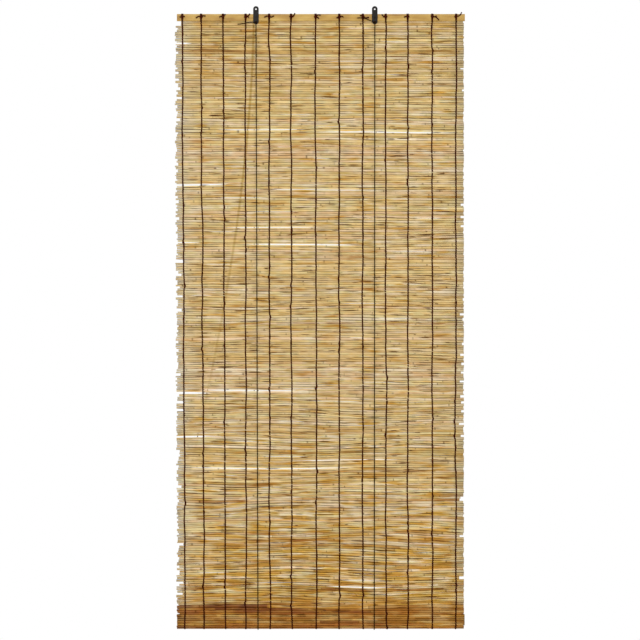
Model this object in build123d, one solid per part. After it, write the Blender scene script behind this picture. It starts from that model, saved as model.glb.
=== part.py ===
from build123d import *
import os
from math import atan2, cos, degrees, hypot, pi, radians, sin, tan

# A reed roll-up blind, let down, as it hangs from two holes. Millimetres: X runs across the width,
# the front faces -Y and Z is up. The origin is midway between the two hanging holes, on the back
# faces of the hanger plates, which is also the front face of the head batten.

# Clearances
SEAT = 0.3
RUN_FIT = 0.08
RIVET_FIT = 0.1
OVERRUN = 4.0

# Hanger plates: flat steel strips with round ends
HANGER_SPACING = 386.0
HANGER_W = 18.2
HANGER_T = 2.0
HANGER_RISE = 9.8
HANGER_FALL = 49.0
HANG_HOLE_R = 2.6
TIE_HOLE_R = 2.2
TIE_HOLE_DROP = 43.2

# Head batten: a flat lath that the top of the mat is bound to
BATTEN_W = 936.0
BATTEN_H = 22.8
BATTEN_T = 7.0
BATTEN_DROP = 15.6
BATTEN_SHIFT = 18.0
BATTEN_EASE = 1.0

# Reed mat: reeds side by side, its foot turned up behind a lath as a hem
MAT_W = 939.0
MAT_SHIFT = 13.6
DROP = 2000.0
REED_D = 6.8
REED_PITCH = 7.2
REED_WEB = 2.8
HEM_H = 80.0

# Light gaps between reeds: lens-shaped slits, some where the blind shows them, the rest spread evenly
GAP_HALF_H = 1.2
GAP_COUNT = 42
GAP_ROW_STEP_SHARE = 0.618034
GAP_PLACE_STEP_SHARE = 0.754878
GAP_LENGTH_STEP_SHARE = 0.569840
GAP_SHORTEST = 45.0
GAP_LONGEST = 190.0
# Row down the front, left end and right end across the width
SEEN_GAP_SHARES = (
    (0.180, 0.17, 0.32),
    (0.272, 0.02, 0.10),
    (0.340, 0.24, 0.40),
    (0.370, 0.25, 0.49),
    (0.613, 0.185, 0.26),
    (0.617, 0.02, 0.09),
    (0.688, 0.02, 0.06),
)

# Uneven reed ends at the left edge
SHORT_REED_COUNT = 16
SHORT_REED_CUT = 9.0
SHORT_REED_RUN = 4
TOP_REED_CUT = 19.0
TOP_REED_COUNT = 1

# Hem lath
LATH_H = 36.0
LATH_T = 10.0
LATH_EASE = 1.5
LATH_INSET = 6.0
LATH_PROUD = 2.5

# Binding twines, as places from the mat's left end to the left hanger, from there to the right
# hanger, and from there to the mat's right end, so that none runs behind a hanger
TWINE_W = 2.6
TWINE_T = 1.4
LEFT_TWINE_SHARES = (0.107, 0.339, 0.607, 0.875)
INNER_TWINE_SHARES = (0.1145, 0.299, 0.506, 0.701, 0.900)
RIGHT_TWINE_SHARES = (0.126, 0.369, 0.644, 0.909)
TWINE_TURN_SIDES = 3

# Pulleys on their rivets: flanged rollers that run between the batten's back and their flange
PULLEY_R = 7.4
GROOVE_R = 4.4
FLANGE_T = 1.0
CORD_ROOM = 0.8
RIVET_R = 2.5
RIVET_HEAD_R = 4.4
RIVET_HEAD_T = 1.4

# Cords, drawn plainly with a four-sided section, and their knots
CORD_R = 1.3
CORD_ARC_SHARE = 0.45
CORD_SIDES = 4
KNOT_SIDES = 6
KNOT_R = 2.6
KNOT_END_R = 1.6
KNOT_HALF_H = 3.4
TIE_TAIL_LEN = 58.0
TIE_TAIL_R = 0.9
LEFT_TAIL_TILT = 6.0
RIGHT_TAIL_TILT = -14.0
LEFT_CORD_DRIFT = 6.6
RIGHT_CORD_DRIFT = -1.6
FREE_STRAND_LEN = 1230.0
# The strand that is led to the left edge, as places below the holes and left of its pulley
LED_STRAND = (
    (10.0, 240.0),
    (30.0, 490.0),
    (64.0, 760.0),
    (110.0, 1030.0),
    (166.0, 1310.0),
)
HITCH_DROP = 1590.0

# Places that follow from the sizes above
left_x = -HANGER_SPACING / 2
right_x = HANGER_SPACING / 2
batten_top = -BATTEN_DROP
batten_mid = batten_top - BATTEN_H / 2
batten_foot = batten_top - BATTEN_H
mat_left = MAT_SHIFT - MAT_W / 2
mat_right = MAT_SHIFT + MAT_W / 2
mat_y = BATTEN_T / 2
mat_top = batten_foot - SEAT
hem_foot = batten_top - DROP
turn_r = REED_D / 2 + SEAT + LATH_T / 2
turn_y = mat_y + turn_r
turn_z = hem_foot + turn_r + REED_D / 2
lath_top = turn_z + LATH_H
hem_top = hem_foot + HEM_H
twine_front = -SEAT
twine_back = BATTEN_T + SEAT
hem_tip_y = twine_back + TWINE_T + SEAT + REED_D / 2
lean = atan2(turn_y + turn_r - hem_tip_y, hem_top - lath_top)

front_len = mat_top - turn_z
turn_len = pi * turn_r
lean_len = hypot(turn_y + turn_r - hem_tip_y, hem_top - lath_top)
front_reeds = round(front_len / REED_PITCH)
front_pitch = front_len / front_reeds

wrap_r = GROOVE_R + SEAT + CORD_R
first_cord_y = twine_back + TWINE_T + SEAT + CORD_R
second_cord_y = first_cord_y + 2 * CORD_R + CORD_ROOM
hitch_y = twine_back + TWINE_T + SEAT + KNOT_R
cord_turn_r = turn_r + REED_D / 2 + SEAT + CORD_R
tie_y = -HANGER_T - SEAT - KNOT_R
tie_foot = -TIE_HOLE_DROP - KNOT_HALF_H


def mat_x(share):
    """X at a share of the mat's width from its left end."""
    return mat_left + share * MAT_W


def twine_places():
    """X of each twine from left to right."""
    stretches = (
        (mat_left, left_x, LEFT_TWINE_SHARES),
        (left_x, right_x, INNER_TWINE_SHARES),
        (right_x, mat_right, RIGHT_TWINE_SHARES),
    )
    return [start + share * (end - start) for start, end, shares in stretches for share in shares]


def pulley_back(cords):
    """Y of the back of a pulley whose flange stands behind the last of its cords."""
    last_cord_y = second_cord_y if cords > 1 else first_cord_y
    return last_cord_y + CORD_R + CORD_ROOM + FLANGE_T


def wall_point(along, out):
    """(Y, Z) at a length along the mat's mid-line, moved out of its outer face by `out`."""
    if along <= front_len:
        return mat_y - out, mat_top - along
    along -= front_len
    if along <= turn_len:
        angle = along / turn_r
        reach = turn_r + out
        return turn_y - reach * cos(angle), turn_z - reach * sin(angle)
    along -= turn_len
    if along <= LATH_H:
        return turn_y + turn_r + out, turn_z + along
    along -= LATH_H
    return (
        turn_y + turn_r + out * cos(lean) - along * sin(lean),
        lath_top + out * sin(lean) + along * cos(lean),
    )


def reed_marks():
    """Lengths along the mid-line at which one reed ends and the next begins."""
    marks = [0.0]
    for length in (front_len, turn_len, LATH_H, lean_len):
        start = marks[-1]
        count = max(1, round(length / REED_PITCH))
        marks += [start + length * (i + 1) / count for i in range(count)]
    return marks


def lens_gap(row, left, right):
    """A slit between two reeds that opens from its ends towards its middle."""
    z = mat_top - row * front_pitch
    middle = (left + right) / 2
    outline = Polyline(
        (left, z),
        (middle, z + GAP_HALF_H),
        (right, z),
        (middle, z - GAP_HALF_H),
        close=True,
    )
    return extrude(Plane.XZ.offset(-mat_y) * make_face(outline), amount=REED_D, both=True)


def gap_row(share):
    """The row nearest to a share of the front, kept off its first and last reeds."""
    return max(2, min(front_reeds - 2, round(share * front_reeds)))


def light_gaps():
    """The slits that the blind shows, and more spread over the rows above the hem."""
    open_share = (mat_top - hem_top) / front_len
    used = set()
    gaps = []
    for row_share, left_share, right_share in SEEN_GAP_SHARES:
        row = gap_row(row_share)
        used.add(row)
        gaps.append(lens_gap(row, mat_x(left_share), mat_x(right_share)))
    for i in range(1, GAP_COUNT + 1):
        row = gap_row(open_share * (i * GAP_ROW_STEP_SHARE % 1))
        if row in used:
            continue
        used.add(row)
        length = GAP_SHORTEST + (GAP_LONGEST - GAP_SHORTEST) * (i * GAP_LENGTH_STEP_SHARE % 1)
        edge = SHORT_REED_CUT + TOP_REED_CUT
        left = mat_left + edge + (MAT_W - 2 * edge - length) * (i * GAP_PLACE_STEP_SHARE % 1)
        gaps.append(lens_gap(row, left, left + length))
    return gaps


def end_cut(first_row, rows, depth):
    """What is missing at the left edge where `rows` reeds from `first_row` down are short by `depth`."""
    top = mat_top - first_row * front_pitch
    foot = top - rows * front_pitch
    if first_row == 0:
        top += OVERRUN
    cut = Box(depth + OVERRUN, 2 * REED_D, top - foot)
    return Pos(mat_left + (depth - OVERRUN) / 2, mat_y, (top + foot) / 2) * cut


def uneven_ends():
    """The cuts at the left edge: a short top reed, then short ones at even steps down the front."""
    cuts = [end_cut(0, TOP_REED_COUNT, TOP_REED_CUT)]
    step = (front_reeds - TOP_REED_COUNT) // SHORT_REED_COUNT
    for i in range(1, SHORT_REED_COUNT):
        depth = SHORT_REED_CUT * (GAP_ROW_STEP_SHARE * i % 1)
        rows = 1 + i % SHORT_REED_RUN
        cuts.append(end_cut(TOP_REED_COUNT + i * step, rows, depth))
    return cuts


def reed_mat():
    """One wall of six-sided reeds joined at their flats, with slits and uneven ends cut into it."""
    marks = reed_marks()
    outer = []
    inner = []
    for start, end in zip(marks, marks[1:]):
        middle = (start + end) / 2
        outer += [wall_point(start, REED_WEB / 2), wall_point(middle, REED_D / 2)]
        inner += [wall_point(start, -REED_WEB / 2), wall_point(middle, -REED_D / 2)]
    outer.append(wall_point(marks[-1], REED_WEB / 2))
    inner.append(wall_point(marks[-1], -REED_WEB / 2))
    outline = Polyline(*outer, *reversed(inner), close=True)
    wall = extrude(Plane.YZ.offset(mat_left) * make_face(outline), amount=MAT_W)
    return wall - (light_gaps() + uneven_ends())


def eased_bar(length, thickness, height, ease):
    """A long bar of rectangular section with its four long edges eased."""
    section = chamfer(Rectangle(thickness, height).vertices(), ease)
    return extrude(Plane.YZ.offset(-length / 2) * section, amount=length)


def head_batten():
    bar = Pos(BATTEN_SHIFT, mat_y, batten_mid) * eased_bar(BATTEN_W, BATTEN_T, BATTEN_H, BATTEN_EASE)
    hole = Rot(X=90) * Cylinder(RIVET_R + RIVET_FIT, 2 * BATTEN_T)
    return bar - [Pos(x, mat_y, batten_mid) * hole for x in (left_x, right_x)]


def hem_lath():
    length = MAT_W - LATH_INSET + LATH_PROUD
    middle = mat_left + LATH_INSET + length / 2
    return Pos(middle, turn_y, turn_z + LATH_H / 2) * eased_bar(length, LATH_T, LATH_H, LATH_EASE)


def hanger_plate(x):
    """A round-ended strip in front of the batten: hole to hang by, rivet hole, hole for the cord's tie."""
    length = HANGER_RISE + HANGER_FALL
    outline = Pos(x, (HANGER_RISE - HANGER_FALL) / 2) * Rot(Z=90) * SlotOverall(length, HANGER_W)
    outline -= Pos(x, 0) * Circle(HANG_HOLE_R)
    outline -= Pos(x, batten_mid) * Circle(RIVET_R + RIVET_FIT)
    outline -= Pos(x, -TIE_HOLE_DROP) * Circle(TIE_HOLE_R)
    return extrude(Plane.XZ * outline, amount=HANGER_T)


def pulley_rivet(x, cords):
    """The rivet, flush with the plate's face, that holds it to the batten and carries the pulley."""
    front = -HANGER_T
    tail = pulley_back(cords) + SEAT
    profile = Polyline(
        (0, front),
        (RIVET_R, front),
        (RIVET_R, tail),
        (RIVET_HEAD_R, tail),
        (RIVET_HEAD_R, tail + RIVET_HEAD_T),
        (0, tail + RIVET_HEAD_T),
        close=True,
    )
    return Pos(x, 0, batten_mid) * revolve(make_face(profile), Axis.Y)


def pulley(x, cords):
    """A roller wide enough for the cords that it carries side by side, with a flange at its back."""
    front = BATTEN_T + SEAT
    back = pulley_back(cords)
    bore = RIVET_R + RUN_FIT
    profile = Polyline(
        (bore, front),
        (GROOVE_R, front),
        (GROOVE_R, back - FLANGE_T),
        (PULLEY_R, back - FLANGE_T),
        (PULLEY_R, back),
        (bore, back),
        close=True,
    )
    return Pos(x, 0, batten_mid) * revolve(make_face(profile), Axis.Y)


def twine(x):
    """A loop round the batten, down the front, round the hem and up the back."""
    def loop(out):
        reach = turn_y - twine_front + out
        corner_r = reach / cos(pi / TWINE_TURN_SIDES / 2)
        hem_y, hem_z = wall_point(front_len + turn_len + LATH_H + lean_len, REED_D / 2)
        points = [
            (twine_front - out, batten_top + SEAT + out),
            (twine_back + out, batten_top + SEAT + out),
            (twine_back + out, hem_top + SEAT + out),
            (hem_y + SEAT + out, max(hem_top, hem_z) + SEAT + out),
            (turn_y + reach, lath_top + SEAT + out),
        ]
        for i in reversed(range(TWINE_TURN_SIDES)):
            angle = pi * (i + 1 / 2) / TWINE_TURN_SIDES
            points.append((turn_y - corner_r * cos(angle), turn_z - corner_r * sin(angle)))
        return make_face(Polyline(*points, close=True))

    ring = loop(TWINE_T) - loop(0)
    return extrude(Plane.YZ.offset(x - TWINE_W / 2) * ring, amount=TWINE_W)


def cord_tube(name, points, tight):
    """A tube along straight runs and tangent arcs; `tight` gives the radius at corners on a wheel."""
    radii = []
    for i in range(1, len(points) - 1):
        before = Vector(*points[i]) - Vector(*points[i - 1])
        after = Vector(*points[i + 1]) - Vector(*points[i])
        half_turn = radians(before.get_angle(after)) / 2
        widest = CORD_ARC_SHARE * min(before.length, after.length) / tan(half_turn)
        radii.append(min(widest, tight[i]) if i in tight else widest)
    path = FilletPolyline(*points, radius=radii)
    section = Plane(origin=path @ 0, z_dir=path % 0) * RegularPolygon(CORD_R, CORD_SIDES)
    tube = sweep(section, path)
    print(name, "radii", [round(r, 1) for r in radii], "length", round(path.length),
          "volume share", round(tube.volume / (section.area * path.length), 4))
    return tube


def front_and_back(x, drift, rise_x, rise_y):
    """The taut stretch of a lift cord: from its tie down the front, under the hem and up the back."""
    foot = turn_z - cord_turn_r
    return [
        (x, tie_y, tie_foot),
        (x + drift, turn_y - cord_turn_r, foot),
        (x + drift, turn_y + cord_turn_r, foot),
        (rise_x, rise_y, batten_mid + wrap_r),
    ]


def left_cord_route():
    """Over the left pulley, then hanging free to its knot."""
    points = front_and_back(left_x, LEFT_CORD_DRIFT, left_x + wrap_r, second_cord_y)
    points.append((left_x - wrap_r, second_cord_y, batten_mid + wrap_r))
    points.append((left_x - wrap_r, second_cord_y, batten_mid - FREE_STRAND_LEN))
    return points


def right_cord_route():
    """Over the right pulley, along the batten, over the left pulley and led to the left edge."""
    points = front_and_back(right_x, RIGHT_CORD_DRIFT, right_x + wrap_r, first_cord_y)
    points.append((left_x - wrap_r, first_cord_y, batten_mid + wrap_r))
    points += [(left_x - wrap_r - left, first_cord_y, -down) for left, down in LED_STRAND]
    points.append((twine_places()[0], hitch_y, -HITCH_DROP))
    return points


def knot(place, way):
    """A six-sided barrel whose first end is at `place` and which lies along `way`."""
    middle = Vector(*place) + Vector(*way).normalized() * KNOT_HALF_H
    section = RegularPolygon(KNOT_R, KNOT_SIDES)
    narrowing = (KNOT_R - KNOT_END_R) * cos(pi / KNOT_SIDES)
    draft = degrees(atan2(narrowing, KNOT_HALF_H))
    half = extrude(section, amount=KNOT_HALF_H, taper=draft)
    return Plane(origin=middle, z_dir=way) * (half + mirror(half, Plane.XY))


def end_knot(route):
    """A knot on the end of a cord, in line with its last run."""
    return knot(route[-1], Vector(*route[-1]) - Vector(*route[-2]))


def cord_tie(x, tail_tilt):
    """The lift cord's knot in front of the plate, with its turn through the hole and its loose tail."""
    heart = (x, tie_y, -TIE_HOLE_DROP)
    through = Plane(origin=heart, z_dir=(0, 1, 0)) * RegularPolygon(CORD_R, CORD_SIDES)
    tail_way = (-cos(radians(tail_tilt)), 0, -sin(radians(tail_tilt)))
    tail = Plane(origin=heart, z_dir=tail_way) * RegularPolygon(TIE_TAIL_R, CORD_SIDES)
    return (
        knot((x, tie_y, tie_foot), (0, 0, 1))
        + extrude(through, amount=-tie_y)
        + extrude(tail, amount=TIE_TAIL_LEN)
    )


def main():
    os.makedirs("parts", exist_ok=True)
    left_route = left_cord_route()
    right_route = right_cord_route()
    on_pulleys = {3: wrap_r, 4: wrap_r}
    parts = {
        "reed_mat": reed_mat(),
        "head_batten": head_batten(),
        "hem_lath": hem_lath(),
        "hanger_plates": Compound([hanger_plate(left_x), hanger_plate(right_x)]),
        "pulley_rivets": Compound([pulley_rivet(left_x, 2), pulley_rivet(right_x, 1)]),
        "left_pulley": pulley(left_x, 2),
        "right_pulley": pulley(right_x, 1),
        "left_lift_cord": cord_tube("left_lift_cord", left_route, on_pulleys),
        "right_lift_cord": cord_tube("right_lift_cord", right_route, on_pulleys),
        "left_cord_tie": cord_tie(left_x, LEFT_TAIL_TILT),
        "right_cord_tie": cord_tie(right_x, RIGHT_TAIL_TILT),
        "draw_cord_knot": end_knot(left_route),
        "draw_cord_hitch": end_knot(right_route),
    }
    for i, x in enumerate(twine_places()):
        parts[f"twine_{i + 1:02d}"] = twine(x)
    for name, part in parts.items():
        export_step(part, f"parts/{name}.step")


main()
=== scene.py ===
import logging
from collections.abc import Sequence
from dataclasses import astuple, dataclass, field
from enum import Enum
from math import atan2, hypot, pi
from typing import Any

import bpy
import numpy as np
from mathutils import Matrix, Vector


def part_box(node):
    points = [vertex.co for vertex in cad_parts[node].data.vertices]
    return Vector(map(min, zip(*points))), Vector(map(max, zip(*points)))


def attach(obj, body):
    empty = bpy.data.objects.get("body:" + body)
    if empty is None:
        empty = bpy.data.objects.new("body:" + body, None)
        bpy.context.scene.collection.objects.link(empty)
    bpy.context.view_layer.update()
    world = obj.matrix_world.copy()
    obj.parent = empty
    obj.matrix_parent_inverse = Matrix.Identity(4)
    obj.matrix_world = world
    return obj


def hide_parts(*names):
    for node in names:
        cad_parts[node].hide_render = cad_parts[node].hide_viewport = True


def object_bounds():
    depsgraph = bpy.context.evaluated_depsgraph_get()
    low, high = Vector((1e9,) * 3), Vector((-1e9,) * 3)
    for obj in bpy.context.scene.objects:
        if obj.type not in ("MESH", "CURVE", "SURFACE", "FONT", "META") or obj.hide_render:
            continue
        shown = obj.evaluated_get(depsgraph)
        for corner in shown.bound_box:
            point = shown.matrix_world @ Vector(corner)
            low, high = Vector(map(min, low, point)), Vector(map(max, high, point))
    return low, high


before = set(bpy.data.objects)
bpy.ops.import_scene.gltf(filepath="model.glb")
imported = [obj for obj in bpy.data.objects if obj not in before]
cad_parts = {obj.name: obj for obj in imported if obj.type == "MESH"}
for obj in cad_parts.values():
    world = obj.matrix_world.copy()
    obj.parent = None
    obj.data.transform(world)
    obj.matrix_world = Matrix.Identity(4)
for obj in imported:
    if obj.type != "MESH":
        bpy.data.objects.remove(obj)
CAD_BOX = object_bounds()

log = logging.getLogger("reed_blind")
Array = np.ndarray
Point = tuple[float, float, float]
Pair = tuple[float, float]
Stops = tuple[tuple[float, str], ...]
# Two values, then the two that they are taken to; what lies between follows evenly.
Span = tuple[float, float, float, float]
Inputs = dict[str | int, Any] | Sequence[Any]
ACROSS, DEPTH, UP = (1, 0, 0), (0, 1, 0), (0, 0, 1)
WHITE = (1.0, 1.0, 1.0, 1.0)


class Body(Enum):
    """The bodies that pieces ride on."""

    BLIND = "blind"


class Slot(Enum):
    """The record's material slots, named with each new piece."""

    REED = "reed"
    CORD = "lift_cord"
    TWINE = "binding_twine"


def linear(hex_colour: str) -> tuple[float, float, float, float]:
    """Turn an sRGB hex colour into linear RGBA, by the sRGB curve with its straight foot."""
    srgb = np.array([int(hex_colour[i:i + 2], 16) for i in (1, 3, 5)]) / 255
    red, green, blue = np.where(srgb <= 0.04045, srgb / 12.92, ((srgb + 0.055) / 1.055) ** 2.4)
    return float(red), float(green), float(blue), 1.0


def set_inputs(tree: bpy.types.NodeTree, node: bpy.types.Node, inputs: Inputs) -> None:
    """Set or link a node's inputs.

    Args:
        tree: The node's tree.
        node: The node.
        inputs: Values by socket name or number, or in the order of the sockets. An output socket is
            linked, and a node stands for its first output.
    """
    for socket, value in inputs.items() if isinstance(inputs, dict) else enumerate(inputs):
        if isinstance(value, bpy.types.Node):
            value = value.outputs[0]
        if isinstance(value, bpy.types.NodeSocket):
            tree.links.new(value, node.inputs[socket])
        else:
            node.inputs[socket].default_value = value


def add_node(
    tree: bpy.types.NodeTree, kind: str, inputs: Inputs = (), stops: Stops = (), **settings: Any,
) -> bpy.types.Node:
    """Add one shader node with its settings and links.

    Args:
        tree: The tree that gets the node.
        kind: The node's type without its ShaderNode prefix.
        inputs: What set_inputs takes.
        stops: Place and hex colour of each stop, for a ramp.
        settings: Properties of the node itself.

    Returns:
        The new node.
    """
    node = tree.nodes.new("ShaderNode" + kind)
    for name, value in settings.items():
        setattr(node, name, value)
    set_inputs(tree, node, inputs)
    for i, (place, colour) in enumerate(stops):
        elements = node.color_ramp.elements
        stop = elements[i] if i < 2 else elements.new(place)
        stop.position = place
        stop.color = linear(colour)
    return node


def new_material(name: str) -> tuple[bpy.types.Material, bpy.types.NodeTree, bpy.types.Node]:
    """Make an empty material, and give it with its node tree and its main shader."""
    material = bpy.data.materials.new(name)
    material.use_nodes = True
    return material, material.node_tree, material.node_tree.nodes["Principled BSDF"]


@dataclass(frozen=True)
class ReedFinish:
    """Dried reed: waxy straw-coloured stalks with ochre patches, dark joints and fine fibres; dark dashes of
    painted shade and dirt in the furrows, painted shade on the hem and a painted shadow of the draw strand
    behind.
    """

    stops: Stops = (
        (0.00, "#603A10"), (0.20, "#A07536"), (0.38, "#C8AA74"),
        (0.55, "#DBC59E"), (0.74, "#E9D8B8"), (1.00, "#FFF3D4"),
    )
    tints: Stops = (
        (0.00, "#FFF0E2"), (0.25, "#FFFFFF"), (0.50, "#F5F4D2"), (0.70, "#FFF1C4"), (1.00, "#FAF3E0"),
    )
    # Dark brown for the joints' stains, and for the painted shade and dirt in the furrows.
    mark: str = "#452200"
    ochre: str = "#EACB76"
    # The hem's painted shade: darker and warmer, for the double layer that lets less daylight through.
    hem: str = "#CCA028"
    bleached: str = "#D7CEB1"
    # The draw strand's painted shadow on the reeds.
    strand_shade: str = "#DDD1A6"
    # Sizes of the patterns along a reed, and across it where they have one.
    patch_len: float = 0.085
    dash_len: float = 0.062
    cloud: Pair = (0.110, 0.013)
    fibre: Pair = (0.030, 0.0009)
    # Reeds read the noise this far apart, so that no two are alike.
    lanes: float = 900.0
    # What each pattern, place or share is taken to.
    patch_span: Span = (0.25, 0.75, -0.125, 0.125)
    hue_span: Span = (0.3, 0.7, -0.25, 0.25)
    foot_span: Span = (-1.30, -1.95, 0.0, 0.16)
    ochre_span: Span = (0.56, 0.70, 0.0, 1.0)
    left_span: Span = (-0.372, -0.452, 0.0, 0.60)
    right_span: Span = (0.440, 0.480, 0.0, 0.4)
    uneven_span: Span = (0.3, 0.6, 0.2, 1.0)
    not_hem_span: Span = (0.0, 0.5, 1.0, 0.1)
    strand_span: Span = (0.0018, 0.0056, 1.0, 0.0)
    strand_z_span: Span = (-1.62, -0.45, 0.0, 1.0)
    fibre_span: Span = (0.3, 0.7, 0.86, 1.1)
    dash_span: Span = (0.47, 0.56, 0.12, 1.0)
    gloss_span: Span = (0.0, 0.7, 0.3, 0.02)
    # Factors of the draw strand's X, from that of Z cubed down to the constant.
    strand: tuple[float, ...] = (-0.01575, -0.10845, 0.01104, -0.19953)
    joint_power: float = 2.0
    roughness: float = 0.48

    def material(self) -> bpy.types.Material:
        """Tone by reed and patch, ochre in clouds and towards the foot, joints, and dark dashes of painted
        shade and dirt in the furrows; painted shade on the hem and along the draw strand.
        """
        material, tree, shader = new_material("dried_reed")
        seed, tone, joint, stain, furrow, hem = (
            add_node(tree, "Attribute", attribute_name="reed_" + name).outputs["Fac"]
            for name in ("seed", "tone", "joint", "stain", "furrow", "hem")
        )
        place = add_node(tree, "TexCoord").outputs["Object"]
        x, _, z = add_node(tree, "SeparateXYZ", [place]).outputs
        lane = add_node(tree, "Math", [seed, self.lanes], operation="MULTIPLY")
        noises = []
        for wave, detail in ((self.patch_len, 2.0), (self.dash_len, 1.0)):
            along = add_node(tree, "Math", [x, 1 / wave], operation="MULTIPLY")
            at = add_node(tree, "CombineXYZ", [along, lane])
            noise = {"Vector": at, "Scale": 1.0, "Detail": detail}
            noises.append(add_node(tree, "TexNoise", noise, noise_dimensions="2D"))
        for (length, height), depth in ((self.cloud, 1.0), (self.fibre, self.fibre[1])):
            at = add_node(tree, "Mapping", {"Vector": place, "Scale": (1 / length, 1 / depth, 1 / height)})
            noises.append(add_node(tree, "TexNoise", {"Vector": at, "Scale": 1.0, "Detail": 2.0}))
        patches, dashes, clouds, fibres = noises
        hues = add_node(tree, "SeparateColor", [patches.outputs["Color"]])
        # Painted shadow of the draw strand behind the mat, dimming what shows between the reeds; its X is a
        # cubic in Z.
        line = self.strand[0]
        for factor in self.strand[1:]:
            line = add_node(tree, "Math", [line, z, factor], operation="MULTIPLY_ADD")
        aside = add_node(tree, "Math", [x, line], operation="SUBTRACT")
        away = add_node(tree, "Math", [aside], operation="ABSOLUTE")
        patch, hue, foot, left, right, uneven, not_hem, beside, upper, shade, dash = (
            add_node(tree, "MapRange", [value, *span]) for value, span in (
                (patches, self.patch_span), (hues.outputs["Green"], self.hue_span), (z, self.foot_span),
                (x, self.left_span), (x, self.right_span), (dashes, self.uneven_span),
                (hem, self.not_hem_span), (away, self.strand_span), (z, self.strand_z_span),
                (fibres, self.fibre_span), (dashes, self.dash_span),
            )
        )
        total, own, cloud, paler = (
            add_node(tree, "Math", pair, operation="ADD")
            for pair in ((patch, tone), (seed, hue), (clouds, foot), (left, right))
        )
        ring = add_node(tree, "Math", [joint, self.joint_power], operation="POWER")
        patchy, behind, furrow_shade_and_dirt, stains = (
            add_node(tree, "Math", pair, operation="MULTIPLY")
            for pair in ((paler, uneven), (beside, upper), (furrow, dash), (ring, stain))
        )
        bleach = add_node(tree, "Math", [patchy, not_hem], operation="MULTIPLY")
        ochre = add_node(tree, "MapRange", [cloud, *self.ochre_span])
        colour = add_node(tree, "ValToRGB", [total], self.stops).outputs["Color"]
        for share, other, blend in (
            (1.0, add_node(tree, "ValToRGB", [own], self.tints), "MULTIPLY"),
            (ochre, linear(self.ochre), "MULTIPLY"),
            # The hem's painted shade.
            (hem, linear(self.hem), "MULTIPLY"),
            (bleach, linear(self.bleached), "MIX"),
            # The draw strand's painted shadow.
            (behind, linear(self.strand_shade), "MULTIPLY"),
            (1.0, shade, "MULTIPLY"),
            # Painted shade and dirt in the furrows.
            (furrow_shade_and_dirt, linear(self.mark), "MIX"),
            (stains, linear(self.mark), "MIX"),
        ):
            layer = add_node(tree, "Mix", {0: share, 6: colour, 7: other}, data_type="RGBA", blend_type=blend)
            colour = layer.outputs[2]
        dull = add_node(tree, "Math", [furrow_shade_and_dirt, stains], operation="MAXIMUM")
        set_inputs(tree, shader, {
            "Base Color": colour, "Roughness": self.roughness,
            "Specular IOR Level": add_node(tree, "MapRange", [dull, *self.gloss_span]),
            "Normal": add_node(tree, "Bump", {"Height": fibres, "Strength": 0.35, "Distance": 0.0003}),
        })
        return material


@dataclass(frozen=True)
class WoodFinish:
    """Planed softwood lath: long pale and dark grain lines, slightly blotched, no varnish."""

    name: str
    pale: str
    mid: str
    dark: str
    grain_len: float = 0.16
    grain_w: float = 0.0016
    blotch_len: float = 0.07
    blotch_w: float = 0.07 / 3
    shades_at: Point = (0.25, 0.5, 0.75)
    roughness: float = 0.58

    def material(self) -> bpy.types.Material:
        """Stretched noise gives the grain, wide noise the blotches; the grain is lightly bumped."""
        material, tree, shader = new_material(self.name)
        place = add_node(tree, "TexCoord").outputs["Object"]
        noises = []
        for length, wide, look in (
            (self.grain_len, self.grain_w, {"Detail": 4.0, "Distortion": 0.6}),
            (self.blotch_len, self.blotch_w, {"Detail": 1.0}),
        ):
            at = add_node(tree, "Mapping", {"Vector": place, "Scale": (1 / length, 1 / wide, 1 / wide)})
            noises.append(add_node(tree, "TexNoise", {"Vector": at, "Scale": 1.0, **look}))
        grain, blotches = noises
        uneven = add_node(tree, "Math", [blotches, 0.5], operation="SUBTRACT")
        tone = add_node(tree, "Math", [uneven, grain], operation="ADD")
        stops = tuple(zip(self.shades_at, (self.dark, self.mid, self.pale)))
        set_inputs(tree, shader, {
            "Base Color": add_node(tree, "ValToRGB", [tone], stops), "Roughness": self.roughness,
            "Normal": add_node(tree, "Bump", {"Height": grain, "Strength": 0.25, "Distance": 0.0003}),
        })
        return material


@dataclass(frozen=True)
class FibreFinish:
    """Twisted plant or cotton fibre: dull, with a paler fuzz and darker hollows between the plies."""

    name: str
    pale: str
    dark: str
    grit: float = 0.0022
    roughness: float = 0.82
    shine: float = 0.03
    shades_at: Pair = (0.32, 0.70)

    def material(self) -> bpy.types.Material:
        """Fine noise mixes the two shades and roughens the surface."""
        material, tree, shader = new_material(self.name)
        place = add_node(tree, "TexCoord").outputs["Object"]
        look = {"Vector": place, "Scale": 1 / self.grit, "Detail": 3.0, "Roughness": 0.65}
        fuzz = add_node(tree, "TexNoise", look)
        stops = tuple(zip(self.shades_at, (self.dark, self.pale)))
        set_inputs(tree, shader, {
            "Base Color": add_node(tree, "ValToRGB", [fuzz], stops),
            "Roughness": self.roughness, "Specular IOR Level": self.shine,
            "Normal": add_node(tree, "Bump", {"Height": fuzz, "Strength": 0.5, "Distance": 0.0003}),
        })
        return material


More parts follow.
